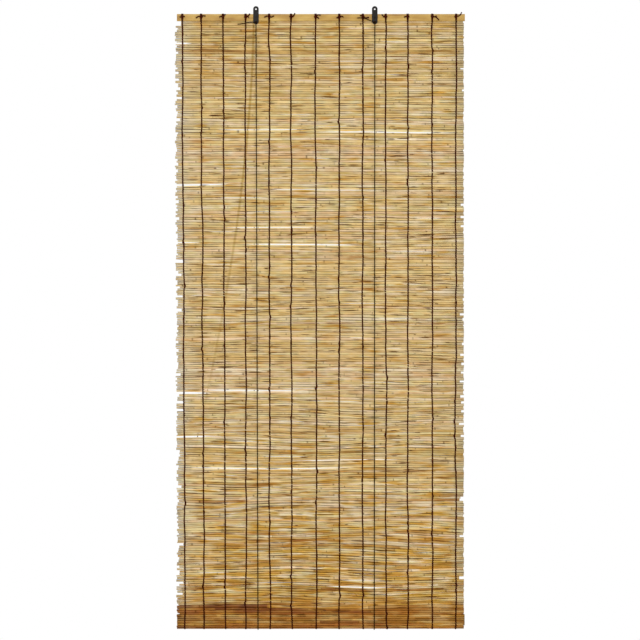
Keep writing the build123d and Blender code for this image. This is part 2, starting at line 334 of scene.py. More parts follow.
@dataclass(frozen=True)
class HardFinish:
    """Coated or moulded hard surface: one colour with a fine grain that softens its highlight."""

    name: str
    colour: str
    worn: str
    grain: float
    roughness: float
    metallic: float = 0.0
    shine: float = 0.5
    shades_at: Pair = (0.45, 0.78)
    # The roughness swings by a share of itself between these values of the noise.
    swing: float = 0.15
    swing_at: Pair = (0.3, 0.7)

    def material(self) -> bpy.types.Material:
        """Fine noise gives the grain's bump; noise ten times as wide lets the worn shade through."""
        material, tree, shader = new_material(self.name)
        place = add_node(tree, "TexCoord").outputs["Object"]
        grain, rubs = (
            add_node(tree, "TexNoise", {"Vector": place, "Scale": fine / self.grain, "Detail": detail})
            for fine, detail in ((1.0, 2.0), (0.1, 4.0))
        )
        smooth, rough = ((1 + way * self.swing) * self.roughness for way in (-1, 1))
        stops = tuple(zip(self.shades_at, (self.colour, self.worn)))
        set_inputs(tree, shader, {
            "Base Color": add_node(tree, "ValToRGB", [rubs], stops),
            "Roughness": add_node(tree, "MapRange", [rubs, *self.swing_at, smooth, rough]),
            "Metallic": self.metallic, "Specular IOR Level": self.shine,
            "Normal": add_node(tree, "Bump", {"Height": grain, "Strength": 0.15, "Distance": 0.0002}),
        })
        return material


@dataclass
class MeshParts:
    """The vertices and faces of one piece, gathered from sets of tubes."""

    points: list[Array] = field(default_factory=list)
    loops: list[Array] = field(default_factory=list)
    sizes: list[Array] = field(default_factory=list)
    values: dict[str, list[Array]] = field(default_factory=dict)
    count: int = 0

    def add_tubes(
        self, rings: Array, tips: Array | None = None, closed: bool = False, **values: Array,
    ) -> None:
        """Add tubes whose rings are joined in order by quads.

        The faces are index sums on the grid of tube, ring and side, with the side wrapped round.

        Args:
            rings: Points, shaped tube by ring by side by 3; sides turn right-handed along the tube.
            tips: Start and end point of each tube, shaped tube by 2 by 3, which close it with fans.
            closed: Whether the last ring joins the first.
            values: Numbers for each point of `rings`; a tip takes the mean of the ring beside it.
        """
        tubes, stations, sides, _ = rings.shape
        index = self.count + np.arange(tubes * stations * sides).reshape(tubes, stations, sides)
        around = np.roll(index, -1, axis=2)
        quads = np.stack([index, around, np.roll(around, -1, axis=1), np.roll(index, -1, axis=1)], axis=-1)
        self.add_faces(quads if closed else quads[:, :-1])
        self.points.append(rings.reshape(-1, 3))
        self.count += index.size
        grids = {name: np.broadcast_to(v, index.shape) for name, v in values.items()}
        for name, grid in grids.items():
            self.values.setdefault(name, []).append(grid.ravel())
        if tips is None:
            return
        tip = self.count + np.arange(2 * tubes).reshape(tubes, 2, 1)
        start, end = (np.broadcast_to(tip[:, i], (tubes, sides)) for i in range(2))
        self.add_faces(np.stack([start, around[:, 0], index[:, 0]], axis=-1))
        self.add_faces(np.stack([end, index[:, -1], around[:, -1]], axis=-1))
        self.points.append(tips.reshape(-1, 3))
        self.count += tubes * 2
        for name, grid in grids.items():
            self.values[name].append(grid[:, (0, -1)].mean(axis=2).ravel())

    def add_faces(self, corners: Array) -> None:
        """Add faces given as an array whose last axis holds the corners of one face."""
        faces = corners.reshape(-1, corners.shape[-1])
        self.loops.append(faces.ravel())
        self.sizes.append(np.full(len(faces), faces.shape[1]))

    def make(self, name: str) -> bpy.types.Object:
        """Turn what was gathered into one smooth-shaded mesh object at the origin, named `name`."""
        mesh = bpy.data.meshes.new(name)
        loops = np.concatenate(self.loops)
        sizes = np.concatenate(self.sizes)
        mesh.vertices.add(self.count)
        mesh.vertices.foreach_set("co", np.concatenate(self.points).astype(np.float32).ravel())
        mesh.loops.add(len(loops))
        mesh.loops.foreach_set("vertex_index", loops.astype(np.int32))
        mesh.polygons.add(len(sizes))
        mesh.polygons.foreach_set("loop_start", (np.cumsum(sizes) - sizes).astype(np.int32))
        mesh.update(calc_edges=True)
        mesh.shade_smooth()
        for attribute, parts in self.values.items():
            layer = mesh.attributes.new(attribute, "FLOAT", "POINT")
            layer.data.foreach_set("value", np.concatenate(parts).astype(np.float32))
        piece = bpy.data.objects.new(name, mesh)
        bpy.context.scene.collection.objects.link(piece)
        return piece


def unit(vectors: Array) -> Array:
    """Scale vectors on the last axis to a length of 1."""
    return vectors / np.linalg.norm(vectors, axis=-1, keepdims=True)


def ramp(values: Array, start: float | Array, end: float) -> Array:
    """Go evenly from 0 at `start` to 1 at `end`, whichever is the larger, and stay level outside them."""
    return np.clip((values - start) / (end - start), 0, 1)


def with_ends(values: Array, end: float | None = None) -> Array:
    """Add a station at both ends of the second axis, with the value beside it or with `end`."""
    first, last = values[:, :1], values[:, -1:]
    if end is not None:
        first = last = np.full_like(first, end)
    return np.concatenate([first, values, last], axis=1)


def sweep(paths: Array, profile: Array, reference: Sequence[float], closed: bool = False) -> Array:
    """Carry a profile along paths.

    At each station the first side axis is the reference direction made square to the path, the second is
    the path crossed with the first, and a ring point is the station plus its two offsets along those axes.

    Args:
        paths: Stations, shaped tube by station by 3.
        profile: Offsets, shaped side by 2, or with tube and station axes before those.
        reference: A direction that no path runs along.
        closed: Whether each path ends where it starts.

    Returns:
        Rings, shaped tube by station by side by 3.
    """
    if closed:
        way = np.roll(paths, -1, axis=1) - np.roll(paths, 1, axis=1)
    else:
        way = np.gradient(paths, axis=1)
    way = unit(way)
    base = np.asarray(reference, float)
    first = unit(base - (way @ base)[..., None] * way)
    second = np.cross(way, first)
    offsets = profile[..., 0, None] * first[:, :, None] + profile[..., 1, None] * second[:, :, None]
    return paths[:, :, None] + offsets


def oval(sides: int, half_w: float, half_t: float) -> Array:
    """Points of an oval of two half widths, evenly turned, shaped side by 2."""
    turn = 2 * pi * np.arange(sides) / sides
    return np.stack([half_w * np.cos(turn), half_t * np.sin(turn)], axis=-1)


def ends_of(paths: Array, reach: float) -> Array:
    """The tips of paths, moved `reach` past their first and last stations."""
    first = paths[:, 0] - reach * unit(paths[:, 1] - paths[:, 0])
    last = paths[:, -1] + reach * unit(paths[:, -1] - paths[:, -2])
    return np.stack([first, last], axis=1)


def smooth_noise(places: Array, wave: float, lanes: int, rng: np.random.Generator) -> Array:
    """Smooth random values: seeded values a wave apart, joined by a cosine ease.

    Args:
        places: Where to read, shaped place, or lane by place.
        wave: Distance between the seeded values.
        lanes: How many independent rows of values.
        rng: The source of the seeded values.

    Returns:
        Values from -1 to 1, shaped lane by place.
    """
    steps = np.broadcast_to((places - places.min()) / wave, (lanes, places.shape[-1]))
    cell = np.floor(steps).astype(int)
    seeds = rng.uniform(-1, 1, (lanes, cell.max() + 2))
    ease = (1 - np.cos(pi * (steps - cell))) / 2
    lane = np.arange(lanes)[:, None]
    return seeds[lane, cell] * (1 - ease) + seeds[lane, cell + 1] * ease


def dress(piece: bpy.types.Object, finish: bpy.types.Material, body: Body, slot: Slot, *nodes: str) -> None:
    """Give a new piece its finish and its body, and hide the CAD nodes that it stands for.

    Args:
        piece: The new piece.
        finish: Its material.
        body: The body that it moves with.
        slot: The record's slot that its finish belongs to; not used.
        nodes: The CAD nodes that it replaces.
    """
    piece.data.materials.append(finish)
    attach(piece, body.value)
    if nodes:
        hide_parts(*nodes)
    log.info("%s rides on %s, in place of %s", piece.name, body.value, ", ".join(nodes) or "nothing")


@dataclass(frozen=True)
class MatLine:
    """The mat's mid-line: down the front, a half turn under the lath, up behind it, then leaning forward."""

    mat_y: float
    mat_top: float
    turn_y: float
    turn_z: float
    lath_top: float
    hem_top: float
    tip_y: float

    @classmethod
    def from_frame(cls, hem_h: float, reed_d: float, tip_gap: float) -> "MatLine":
        """Read the line off the batten, the lath and the mat.

        Args:
            hem_h: Height of the turned-up hem.
            reed_d: Thickness of the mat.
            tip_gap: Room between the mat's back and the hem's upper edge.

        Returns:
            The line.
        """
        _, mat_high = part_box("reed_mat")
        lath_low, lath_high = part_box("hem_lath")
        batten_low, batten_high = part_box("head_batten")
        mat_y = (batten_low.y + batten_high.y) / 2
        turn_y = (lath_low.y + lath_high.y) / 2
        hem_top = lath_low.z - (turn_y - mat_y) - reed_d / 2 + hem_h
        return cls(mat_y, mat_high.z, turn_y, lath_low.z, lath_high.z, hem_top, mat_y + reed_d + tip_gap)

    @property
    def turn_r(self) -> float:
        """Radius of the half turn."""
        return self.turn_y - self.mat_y

    @property
    def open_len(self) -> float:
        """Length of the front above the hem."""
        return self.mat_top - self.hem_top

    @property
    def lean(self) -> Pair:
        """Angle and length of the leaning stretch."""
        across = self.turn_y + self.turn_r - self.tip_y
        up = self.hem_top - self.lath_top
        return atan2(across, up), hypot(across, up)

    @property
    def stretches(self) -> tuple[float, float, float, float]:
        """Lengths of the front, the turn, the rise and the lean."""
        front = self.mat_top - self.turn_z
        return front, pi * self.turn_r, self.lath_top - self.turn_z, self.lean[1]

    def at(self, along: Array) -> tuple[Array, Array, Array]:
        """Points, outward directions and forward directions on the line.

        Each stretch adds its own travel: the front lowers Z, the turn swings about the lath's foot by its
        length over its radius, the rise lifts Z, and the lean moves along its slope.

        Args:
            along: Lengths from the mat's top.

        Returns:
            Three arrays with a last axis of 3 and no X.
        """
        front, turn, rise, _ = self.stretches
        lean = self.lean[0]
        swing = np.clip(along - front, 0, turn) / self.turn_r
        lifted = np.clip(along - front - turn, 0, rise)
        leant = np.maximum(along - front - turn - rise, 0)
        y = self.turn_y - self.turn_r * np.cos(swing) - leant * np.sin(lean)
        fallen = np.clip(along, None, front) + self.turn_r * np.sin(swing)
        z = self.mat_top - fallen + lifted + leant * np.cos(lean)
        angle = swing + lean * (leant > 0)
        none = np.zeros_like(y)
        point = np.stack([none, y, z], axis=-1)
        outward = np.stack([none, -np.cos(angle), -np.sin(angle)], axis=-1)
        forward = np.stack([none, np.sin(angle), -np.cos(angle)], axis=-1)
        return point, outward, forward


@dataclass(frozen=True)
class LightGap:
    """A gap that daylight shows through: shares of the way down and across, and half its opening."""

    down_share: float
    start_share: float
    end_share: float
    half: float


@dataclass(frozen=True)
class Strays:
    """Stalks on the mat's front, loose ones and also dark slivers of painted shade and pale ones of painted
    light: how many, how finely made, how long, thick, steep, deep and low.
    """

    count: int
    steps: int
    length: Pair
    radius: Pair
    slope: float
    sunk: float
    from_share: float
    tones: tuple[float, ...]
    stained: float = 0.0
    # All kinds keep off the mat's sides and ends, bow forward, are flattened, and get fine towards the tips.
    sides: int = 5
    side_room: float = 0.02
    end_room: float = 0.03
    bow: float = 0.0006
    flat: float = 0.6
    fine: float = 0.05
    tip: float = 0.0005


@dataclass(frozen=True)
class ReedTones:
    """How light the reeds are on the finish's scale from 0 to 1. Places are shares of the way down."""

    mean: float = 0.55
    by_reed: float = 0.055
    by_length: float = 0.042
    limits: Pair = (0.3, 0.9)
    # The lower reeds differ more.
    low_spread: float = 0.9
    low_at: Pair = (0.6, 0.9)
    # Painted shade, where less light falls: darker at the head, just above the hem, and at the upper left, by
    # metres from the left edge.
    head_shade: float = 0.09
    head_at: Pair = (0.2, 0.0)
    foot_shade: float = 0.06
    foot_at: Pair = (0.86, 0.91)
    left_shade: float = 0.08
    left_at: Pair = (0.6, 0.0)
    left_down: Pair = (0.4, 0.0)
    # The hem is uneven, darker and more golden at its left, with one row near its top set dark. Its darker,
    # warmer painted shade, for the double layer that lets less daylight through, takes a share that falls
    # towards its right.
    hem_spread: float = 0.13
    hem_sides: Pair = (-0.09, 0.05)
    hem_shade_and_gold: Pair = (0.6, 1.0)
    hem_right: float = 0.2
    dark: float = 0.16
    dark_from: float = 0.4
    dark_lengths: int = 2
    # Joints and cut ends are stained on one side of the reed.
    end_joint: float = 0.95
    stain_shape: float = 1.1
    stain_mean: float = 0.2
    stain_swing: float = 1.1
    stain_turn: float = 1.3
    # Painted shade and dirt lie in the furrows where the reeds meet, in some more than in others.
    furrow_at: Pair = (0.54, 0.99)
    furrow_least: float = 0.35
    furrow_more: float = 0.95
    furrow_shape: Pair = (0.9, 1.0)
    furrow_spread: float = 0.4
    furrow_hem: float = 0.5
    # Painted light: daylight brightens the edges of a light gap that opens this far.
    lit: float = 0.5
    lit_open: float = 0.0005


@dataclass(frozen=True)
class Reeds:
    """What the reeds' shape and shades both come from, with reeds on the first axis.

    Stations are X along the reed. `off` is each one's distance from each joint, `near` its closeness, and
    `stained` how dark the joint is. `turn` is the angle of each side, `above` and `below` are what the
    light gaps take off, and `middle` is the reed's place on the mat's line.
    """

    stations: Array
    off: Array
    near: Array
    stained: Array
    turn: Array
    above: Array
    below: Array
    middle: Array


@dataclass
class ReedMat:
    """The mat: one stalk to each row, with joints, taper and ragged ends, and loose stalks on its front, with
    dark slivers of painted shade and pale stalks of painted light among them.
    """

    pitch: float = 0.0072
    reed_d: float = 0.0068
    hem_h: float = 0.080
    tip_gap: float = 0.0058
    sides: int = 8
    # Joints lie evenly along a reed, moved by a share of their spacing, and swell it.
    joints: int = 5
    joint_jitter: float = 0.42
    joint_half: float = 0.006
    joint_reach: Pair = (0.4, 1.5)
    swell: float = 0.06
    # Light gaps: the even ones are narrow; all open over a share of half their length.
    gap_half: float = 0.00032
    gap_count: int = 42
    gap_step_shares: Point = (0.618034, 0.754878, 0.569840)
    gap_len: Pair = (0.045, 0.190)
    gap_edge: float = 0.028
    gap_slope: float = 0.45
    seen_gaps: tuple[LightGap, ...] = (
        LightGap(0.180, 0.14, 0.46, 0.0011), LightGap(0.272, -0.14, 0.19, 0.0024),
        LightGap(0.340, 0.15, 0.52, 0.0010), LightGap(0.370, 0.22, 0.66, 0.0016),
        LightGap(0.613, 0.05, 0.48, 0.0013), LightGap(0.617, -0.16, 0.13, 0.0034),
        LightGap(0.688, -0.12, 0.17, 0.0021), LightGap(0.184, 0.47, 0.99, 0.0013),
        LightGap(0.741, 0.02, 0.64, 0.0012), LightGap(0.035, -0.06, 0.06, 0.0018),
        LightGap(0.727, 0.38, 0.80, 0.0008), LightGap(0.277, 0.22, 0.74, 0.0006),
        LightGap(0.366, -0.10, 0.10, 0.0010), LightGap(0.934, 0.52, 0.75, 0.0010),
    )
    # Stations: spare ones where a mark has no gap, two about the middle, and a little evenness for all.
    spare_shares: tuple[Pair, Pair] = ((0.09, 0.91), (0.21, 0.79))
    mid_shares: Pair = (0.45, 0.55)
    even_share: float = 0.004
    # The rows' unevenness, and the height, width and length of the waves that they sway in.
    uneven_share: float = 0.26
    waves: tuple[Point, ...] = ((0.0018, 0.93, 0.61), (0.0016, 0.57, 0.27), (0.0011, 0.64, 0.15))
    sway_head: float = 0.15
    sway_foot: float = 0.07
    sway_least: float = 0.5
    sway_more: float = 2.2
    # Ends: the left ones ragged, some reeds short at either end.
    left_drift: float = 0.006
    ragged: float = 0.0075
    ragged_shape: Pair = (1.4, 2.6)
    ragged_out: float = 0.3
    top_cut: float = 0.019
    top_rows: int = 2
    missing_share: float = 0.13
    missing: float = 0.024
    right_ragged: float = 0.003
    right_missing_share: float = 0.078
    right_missing: float = 0.014
    tip_len: float = 0.030
    tip_taper: float = 0.32
    taper_shares: Pair = (0.2, 1)
    bore_share: float = 0.55
    bore_depth: float = 0.003
    # Reeds overlap by a share of half the pitch, differ in thickness, and lie in and out of line.
    overlap: Pair = (0.04, 0.11)
    slim: Pair = (0.75, 1)
    thin: Pair = (0.9, 1)
    bow: float = 0.0004
    bow_wave: float = 0.25
    sunk: float = 0.0006
    # The first kind are dark slivers that stand for the shade lines between the reeds: painted shade. The
    # palest of the second kind stand for daylight showing between the reeds: painted light. The third kind
    # are loose stalks.
    strays: tuple[Strays, ...] = (
        Strays(800, 4, (0.008, 0.060), (0.0006, 0.0012), 0.015, 0.0002, 0.0, (0.0, 0.1, 0.2), 0.92),
        Strays(150, 7, (0.03, 0.13), (0.0005, 0.0010), 0.05, 0.0004, 0.0, (0.05, 0.3, 0.75, 0.95, 1.1)),
        Strays(60, 7, (0.10, 0.28), (0.0016, 0.0024), 0.04, 0.0014, 0.55, (0.35, 0.5, 0.6, 0.8)),
    )
    tones: ReedTones = ReedTones()
    seed: int = 11
    line: MatLine = field(init=False)
    marks: Array = field(init=False)
    front_rows: int = field(init=False)
    left: float = field(init=False)
    right: float = field(init=False)

    def __post_init__(self) -> None:
        """Read the mat's place and divide its line into rows, as the solid does, then make them uneven."""
        low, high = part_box("reed_mat")
        self.left, self.right = low.x, high.x
        self.line = MatLine.from_frame(self.hem_h, self.reed_d, self.tip_gap)
        counts = [max(1, round(length / self.pitch)) for length in self.line.stretches]
        self.front_rows = counts[0]
        starts = np.concatenate([[0.0], np.cumsum(self.line.stretches)])
        pieces = [
            np.linspace(start, end, count, endpoint=False)
            for start, end, count in zip(starts, starts[1:], counts)
        ]
        self.marks = np.concatenate([*pieces, starts[-1:]])
        jitter = np.random.default_rng(self.seed).uniform(-1, 1, self.rows - 1)
        self.marks[1:-1] += self.uneven_share * self.pitch * jitter

    @property
    def rows(self) -> int:
        """How many reeds lie along the line."""
        return len(self.marks) - 1

    def sway(self, x: Array, along: Array) -> Array:
        """How far the rows lie off the level: a sum of sines that run aslant across the mat.

        They fade out at the batten and inside the hem, and grow with the cube of the way down.

        Args:
            x: Places across the mat.
            along: Lengths from the mat's top, in a shape that fits.

        Returns:
            Moves along the mat's line.
        """
        front = self.line.stretches[0]
        calm = front - self.hem_h / 2
        fade = ramp(along, 0, self.sway_head) * ramp(along, calm, calm - self.sway_foot)
        grow = self.sway_least + self.sway_more * ramp(along, 0, front) ** 3
        waves = sum(
            high * np.sin(2 * pi * (x / wide + along / tall) + i)
            for i, (high, wide, tall) in enumerate(self.waves)
        )
        return fade * grow * waves

    def gap_ends(self) -> tuple[Array, Array]:
        """Left and right end of the light gap at each mark, or two spare places where there is none.

        The seen gaps come first. The rest follow by steps of fixed shares, as in the solid, and leave out
        the marks that are taken.

        Returns:
            X of both ends, shaped mark by 2, and half the opening at each mark, shaped mark by 1.
        """
        width = self.right - self.left
        ends = self.left + width * np.resize(self.spare_shares, (len(self.marks), 2))
        halves = np.zeros((len(self.marks), 1))
        step = np.arange(1, self.gap_count + 1)[:, None] * np.array(self.gap_step_shares) % 1
        length = self.gap_len[0] + (self.gap_len[1] - self.gap_len[0]) * step[:, 2]
        start = self.left + self.gap_edge + (width - 2 * self.gap_edge - length) * step[:, 1]
        seen = np.array([astuple(gap) for gap in self.seen_gaps])
        open_share = self.line.open_len / self.line.stretches[0]
        share = np.concatenate([seen[:, 0], open_share * step[:, 0]])
        first = np.concatenate([self.left + width * seen[:, 1], start])
        last = np.concatenate([self.left + width * seen[:, 2], start + length])
        half = np.concatenate([seen[:, 3], np.full(self.gap_count, self.gap_half)])
        rows = np.clip(np.rint(share * self.front_rows).astype(int), 2, self.front_rows - 2)
        marks, chosen = np.unique(rows, return_index=True)
        ends[marks] = np.stack([first, last], axis=1)[chosen]
        halves[marks, 0] = half[chosen]
        return ends, halves

    def reed_ends(self, rng: np.random.Generator) -> tuple[Array, Array]:
        """Left and right end of each reed: the left ends ragged, the right ones nearly even, some short.

        Args:
            rng: The source of the random values.

        Returns:
            X of the left and right ends, each shaped row by 1.
        """
        rows = self.rows
        short = self.ragged * (2 * rng.beta(*self.ragged_shape, rows) - self.ragged_out)
        short += self.missing * rng.random(rows) ** 2 * (rng.random(rows) < self.missing_share)
        short[:self.top_rows] = self.top_cut
        x0 = self.left + self.left_drift * ramp(self.marks[:-1], 0, self.line.stretches[0]) + short
        x1 = self.right - self.right_ragged * rng.random(rows) ** 2
        x1 -= self.right_missing * rng.random(rows) * (rng.random(rows) < self.right_missing_share)
        return x0[:, None], x1[:, None]

    def build(self) -> bpy.types.Object:
        """Make every reed and every stalk on the front as one piece.

        A reed is an oval ring of sides carried along X. Its edges follow the swaying marks above and below
        it; it swells at the joints, and beside a light gap it shrinks away from the gap. A ring inside each
        end and a tip behind it make the end's hollow.

        Returns:
            The mat.
        """
        rng = np.random.default_rng(self.seed)
        rows = self.rows
        x0, x1 = self.reed_ends(rng)
        jitter = rng.uniform(-self.joint_jitter, self.joint_jitter, (rows, self.joints))
        joint_x = x0 + (np.arange(self.joints) + 0.5 + jitter) / self.joints * (x1 - x0)
        reach = self.joint_half * rng.uniform(*self.joint_reach, (rows, self.joints, 2))
        gaps, gap_half = self.gap_ends()
        aside = self.gap_slope / 2
        shoulders = gaps @ np.array([[1 - aside, aside], [aside, 1 - aside]])
        mid_x = self.left + (self.right - self.left) * np.array(self.mid_shares)
        stations = np.sort(np.concatenate([
            x0, x0 + self.tip_len, x1, joint_x, joint_x - reach[..., 0], joint_x + reach[..., 1],
            gaps[:-1], gaps[1:], shoulders[:-1], shoulders[1:], np.tile(mid_x, (rows, 1)),
        ], axis=1), axis=1)
        even = x0 + (x1 - x0) * np.linspace(0, 1, stations.shape[1])
        stations = (1 - self.even_share) * np.clip(stations, x0, x1) + self.even_share * even
        off = stations[:, :, None] - joint_x[:, None]
        near = ramp(np.abs(off), np.where(off < 0, reach[:, None, :, 0], reach[:, None, :, 1]), 0)
        stained = rng.beta(self.tones.stain_shape, self.tones.stain_shape, (rows, self.joints))
        top, foot = (
            edge[:, None] + self.sway(stations, edge[:, None]) for edge in (self.marks[:-1], self.marks[1:])
        )
        overlap = self.pitch / 2 * rng.uniform(*self.overlap, (rows, 1))
        above, below = (
            (half + overlap) / 2 * self.lens(stations, ends) * (half > 0)
            for half, ends in ((gap_half[:-1], gaps[:-1]), (gap_half[1:], gaps[1:]))
        )
        half_h = (foot - top) / 2 + overlap - above - below
        taper = self.tip_taper * rng.uniform(*self.taper_shares, (rows, 1))
        half_h *= 1 - taper * ramp(stations - x0, self.tip_len, 0)
        middle = (self.marks[:-1] + self.marks[1:]) / 2
        shift = (top + foot) / 2 - middle[:, None] + above - below
        slim = np.clip(np.diff(self.marks) / self.pitch, *self.slim)[:, None]
        half_t = self.reed_d / 2 * slim * rng.uniform(*self.thin, (rows, 1)) * np.ones_like(stations)
        depth = self.bow * smooth_noise(stations, self.bow_wave, rows, rng)
        depth -= self.sunk * rng.random((rows, 1)) ** 3
        turn = 2 * pi * np.arange(self.sides) / self.sides + rng.uniform(0, 1, (rows, 1, 1))
        swell = (1 + self.swell * near.max(axis=2))[..., None]
        tall = half_h[..., None] * swell * np.sin(turn)
        deep = half_t[..., None] * swell * np.cos(turn) + depth[..., None]
        rings = self.place(stations, shift[..., None] + tall, deep, middle)
        rim = rings[:, (0, -1)]
        heart = rim.mean(axis=2, keepdims=True)
        bore = heart + self.bore_share * (rim - heart)
        tips = heart[:, :, 0] + self.bore_depth * np.array([ACROSS, [-1, 0, 0]])
        reeds = Reeds(stations, off, near, stained, turn, above, below, middle)
        parts = MeshParts()
        parts.add_tubes(
            np.concatenate([bore[:, :1], rings, bore[:, 1:]], axis=1), tips, **self.shades(reeds, rng),
        )
        for strays in self.strays:
            self.add_strays(parts, strays, rng)
        return parts.make("reed_mat_reeds")

    def shades(self, reeds: Reeds, rng: np.random.Generator) -> dict[str, Array]:
        """Work out the numbers that the reeds' finish reads, with one more station at each end.

        Args:
            reeds: What they come from.
            rng: The source of the random values.

        Returns:
            Arrays that fit reed by station by side, by the name of the attribute.
        """
        look = self.tones
        rows = self.rows
        lengths = self.joints + 1
        close = reeds.near.max(axis=2)
        down = reeds.middle / self.line.stretches[0]
        in_hem = ramp(reeds.middle, self.line.open_len, self.line.open_len + 2 * self.pitch)
        hem = in_hem > 0
        spread = 1 + look.low_spread * (ramp(down, *look.low_at) * ~hem)[:, None]
        tones = look.by_reed * rng.standard_normal((rows, 1))
        tones = tones + look.by_length * rng.standard_normal((rows, lengths))
        tones = np.clip(look.mean + spread * tones, *look.limits)
        # Painted shade at the head, just above the hem and at the upper left.
        painted_shade = look.head_shade * ramp(down, *look.head_at) + look.foot_shade * ramp(down, *look.foot_at) * ~hem
        tones -= painted_shade[:, None]
        tones[hem] += look.hem_spread * rng.standard_normal((hem.sum(), lengths))
        tones[hem] += np.linspace(*look.hem_sides, lengths)
        tones[np.argmax(in_hem > look.dark_from), :look.dark_lengths] = look.dark
        tone = np.take_along_axis(tones, (reeds.off > 0).sum(axis=2), axis=1)
        leftward = ramp(reeds.stations - self.left, *look.left_at)
        tone = tone - look.left_shade * leftward * ramp(down, *look.left_down)[:, None]
        side = np.cos(reeds.turn - rng.uniform(-look.stain_turn, look.stain_turn, (rows, 1, 1)))
        side = np.clip(look.stain_mean + look.stain_swing * side, 0, 1)
        stain = np.take_along_axis(reeds.stained, reeds.near.argmax(axis=2), axis=1) * (close > 0)
        furrow = ramp(np.abs(np.sin(reeds.turn)), *look.furrow_at)
        furrow = furrow * (look.furrow_least + look.furrow_more * rng.beta(*look.furrow_shape, (rows, 1, 1)))
        more = 1 + look.furrow_spread * (spread - 1) + look.furrow_hem * in_hem[:, None]
        furrow = np.clip(furrow * more[..., None], 0, 1)
        # Painted light at the edges of the light gaps: added to the tone, taken off the furrows.
        lit = with_ends(sum(
            ramp(opened, 0, look.lit_open)[..., None] * np.clip(way * np.sin(reeds.turn), 0, 1)
            for opened, way in ((reeds.above, -1), (reeds.below, 1))
        ), 0.0)
        # The hem's painted shade fades towards the right.
        golden = 1 - look.hem_right * ramp(with_ends(reeds.stations), 0, self.right)
        return {
            "reed_seed": rng.random((rows, 1, 1)),
            "reed_tone": with_ends(tone)[..., None] + look.lit * lit,
            "reed_joint": with_ends(close, look.end_joint)[..., None],
            "reed_stain": side * with_ends(stain, 1.0)[..., None],
            "reed_furrow": furrow * np.clip(1 - lit, 0, 1),
            "reed_hem": ((in_hem * rng.uniform(*look.hem_shade_and_gold, rows))[:, None] * golden)[..., None],
        }

    def lens(self, stations: Array, ends: Array) -> Array:
        """How far open a gap is at each station: 1 about its middle, falling evenly to 0 at its ends."""
        half = (ends[:, 1:] - ends[:, :1]) / 2
        off = np.abs(stations - ends.mean(axis=1, keepdims=True)) / half
        return ramp(off, 1, 1 - self.gap_slope)

    def place(self, stations: Array, along: Array, deep: Array, middle: Array) -> Array:
        """Set rings on the mat's line: X from the station, depth outward, height along the line.

        Args:
            stations: X, shaped reed by station.
            along: Offsets along the line, shaped reed by station by side.
            deep: Offsets outward, in the same shape.
            middle: Each reed's place on the line.

        Returns:
            Rings, shaped reed by station by side by 3.
        """
        point, outward, forward = (v[:, None, None] for v in self.line.at(middle))
        rings = point + deep[..., None] * outward + along[..., None] * forward
        rings[..., 0] = stations[..., None]
        return rings

    def add_strays(self, parts: MeshParts, strays: Strays, rng: np.random.Generator) -> None:
        """Add stalks that lie a little aslant on the reeds, bowed forward and fine at both ends.

        Args:
            parts: The mat's gathered mesh.
            strays: What they are like.
            rng: The source of the random values.
        """
        count = strays.count
        front = self.line.stretches[0]
        length = rng.uniform(*strays.length, (count, 1))
        edge = strays.side_room + strays.length[1] / 2
        middle_x = rng.uniform(self.left + edge, self.right - edge, (count, 1))
        highest = strays.from_share * front + strays.end_room
        along = rng.uniform(highest, front - strays.end_room, (count, 1))
        step = np.linspace(-0.5, 0.5, strays.steps)
        x = middle_x + length * step
        fall = strays.slope * rng.standard_normal((count, 1)) * length * step
        z = self.line.mat_top - along - fall - self.sway(x, along)
        bow = strays.bow * (1 - (2 * step) ** 2)
        y = self.line.mat_y - self.reed_d / 2 + strays.sunk - bow + np.zeros_like(x)
        paths = np.stack([x, y, z], axis=-1)
        fine = np.sqrt(np.clip(1 - (2 * step) ** 4, strays.fine, 1))
        thick = rng.uniform(*strays.radius, (count, 1)) * fine
        profile = oval(strays.sides, 1.0, strays.flat) * thick[..., None, None]
        none, full = np.zeros((1, 1, 1)), np.ones((1, 1, 1))
        parts.add_tubes(
            sweep(paths, profile, UP), ends_of(paths, strays.tip),
            reed_seed=rng.random((count, 1, 1)), reed_tone=rng.choice(strays.tones, (count, 1, 1)),
            reed_joint=strays.stained * rng.random((count, 1, 1)) ** 0.5, reed_stain=full,
            reed_furrow=none, reed_hem=none,
        )

    def dress(self, piece: bpy.types.Object) -> None:
        """Give the reeds their finish in place of the solid mat."""
        dress(piece, ReedFinish().material(), Body.BLIND, Slot.REED, "reed_mat")


@dataclass(frozen=True)
class Tail:
    """A loose end at a knot: which way it points, in degrees from +X towards +Z, and how long it is."""

    angle: float
    length: float


TWINE_TAILS: tuple[tuple[Tail, Tail], ...] = (
    (Tail(185, 0.0084), Tail(-5, 0.0084)),
    (Tail(196, 0.0168), Tail(4, 0.0144)),
    (Tail(190, 0.0120), Tail(40, 0.0108)),
    (Tail(35, 0.0168), Tail(-12, 0.0108)),
    (Tail(188, 0.0156), Tail(8, 0.0156)),
    (Tail(42, 0.0168), Tail(15, 0.0096)),
    (Tail(18, 0.0168), Tail(-35, 0.0120)),
    (Tail(-8, 0.0132), Tail(200, 0.0096)),
    (Tail(-6, 0.0192), Tail(160, 0.0096)),
    (Tail(150, 0.0144), Tail(190, 0.0084)),
    (Tail(192, 0.0120), Tail(80, 0.0060)),
    (Tail(-28, 0.0240), Tail(10, 0.0144)),
    (Tail(38, 0.0228), Tail(-170, 0.0060)),
)


